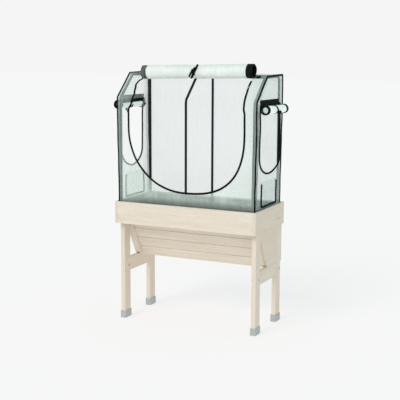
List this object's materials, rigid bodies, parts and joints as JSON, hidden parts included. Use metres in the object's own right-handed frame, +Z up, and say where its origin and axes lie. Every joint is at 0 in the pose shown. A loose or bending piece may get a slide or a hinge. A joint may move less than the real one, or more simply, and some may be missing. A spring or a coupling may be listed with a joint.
{
  "type": "raised planter with greenhouse cover",
  "caption": "Raised wooden trough planter on legs with a clear greenhouse cover over a hooped tube frame, a rolled-up front door, side vents and access flaps.",
  "frame": {"origin": "on the floor, in the middle of the planter's footprint", "axes": "+Z up, +Y to the upright back, +X to the right of someone who faces the front"},
  "size_m": [1.1046, 0.49, 1.7071],
  "materials": {
    "wood": "whitewashed, sawn, matt",
    "foot_cap": "moulded, matt",
    "bolt_steel": "zinc plated",
    "liner_cloth": "non-woven felt",
    "black_tube": "powder coated, satin",
    "clear_sheet": "soft clear sheet, glossy",
    "binding": "woven binding tape"
  },
  "bodies": {
    "planter": {"leg_front_left": "wood", "leg_front_right": "wood", "leg_rear_left": "wood", "leg_rear_right": "wood", "foot_cap_front_left": "foot_cap", "foot_cap_front_right": "foot_cap", "foot_cap_rear_left": "foot_cap", "foot_cap_rear_right": "foot_cap", "stretcher_left": "wood", "stretcher_right": "wood", "stretcher_bolt_front_left": "bolt_steel", "stretcher_bolt_front_right": "bolt_steel", "stretcher_bolt_rear_left": "bolt_steel", "stretcher_bolt_rear_right": "bolt_steel", "fascia_front": "wood", "fascia_rear": "wood", "fascia_left": "wood", "fascia_right": "wood", "front_slat_1": "wood", "front_slat_2": "wood", "front_slat_3": "wood", "front_slat_4": "wood", "front_slat_5": "wood", "back_board_1": "wood", "back_board_2": "wood", "bottom_board_front": "wood", "bottom_board_rear": "wood", "end_panel_left": "wood", "end_panel_right": "wood", "slope_batten_left": "wood", "slope_batten_right": "wood", "liner": "liner_cloth"},
    "frame": {"hoop_left": "black_tube", "hoop_centre": "black_tube", "hoop_right": "black_tube", "base_rail_front": "black_tube", "base_rail_rear": "black_tube", "base_rail_left": "black_tube", "base_rail_right": "black_tube", "top_rail_front_left": "black_tube", "top_rail_front_right": "black_tube", "top_rail_rear_left": "black_tube", "top_rail_rear_right": "black_tube"},
    "cover": {"cover_front": "clear_sheet", "cover_roof_back": "clear_sheet", "cover_side_left": "clear_sheet", "cover_side_right": "clear_sheet", "side_piping_left": "binding", "side_piping_right": "binding", "door_piping": "binding", "vent_surround_left": "binding", "vent_surround_right": "binding"},
    "door_roll": {"door_roll": "clear_sheet", "door_strap": "binding"},
    "vent_roll_left": {"vent_roll_left": "clear_sheet", "vent_tie_left": "binding"},
    "vent_roll_right": {"vent_roll_right": "clear_sheet", "vent_tie_right": "binding"},
    "access_flap_left": {"access_flap_left": "clear_sheet"},
    "access_flap_right": {"access_flap_right": "clear_sheet"}
  },
  "joints": [
    {"name": "frame_lift", "type": "slide", "parent": "planter", "child": "frame", "axis": [0, 0, 1], "range_m": [0, 0.15]},
    {"name": "cover_lift", "type": "slide", "parent": "frame", "child": "cover", "axis": [0, 0, 1], "range_m": [0, 0.9]},
    {"name": "door_roll_tip", "type": "hinge", "parent": "cover", "child": "door_roll", "pos_m": [0, -0.05269, 1.63248], "axis": [-1, 0, 0], "range_deg": [0, 60]},
    {"name": "vent_roll_left_lift", "type": "hinge", "parent": "cover", "child": "vent_roll_left", "pos_m": [-0.4854, -0.0165, 1.458], "axis": [0, 1, 0], "range_deg": [0, 90]},
    {"name": "access_flap_left_hinge", "type": "hinge", "parent": "cover", "child": "access_flap_left", "pos_m": [-0.4815, 0.004, 0.972], "axis": [0, 1, 0], "range_deg": [0, 100]},
    {"name": "vent_roll_right_lift", "type": "hinge", "parent": "cover", "child": "vent_roll_right", "pos_m": [0.4854, -0.0165, 1.458], "axis": [0, -1, 0], "range_deg": [0, 90]},
    {"name": "access_flap_right_hinge", "type": "hinge", "parent": "cover", "child": "access_flap_right", "pos_m": [0.4815, 0.004, 0.972], "axis": [0, -1, 0], "range_deg": [0, 100]}
  ]
}
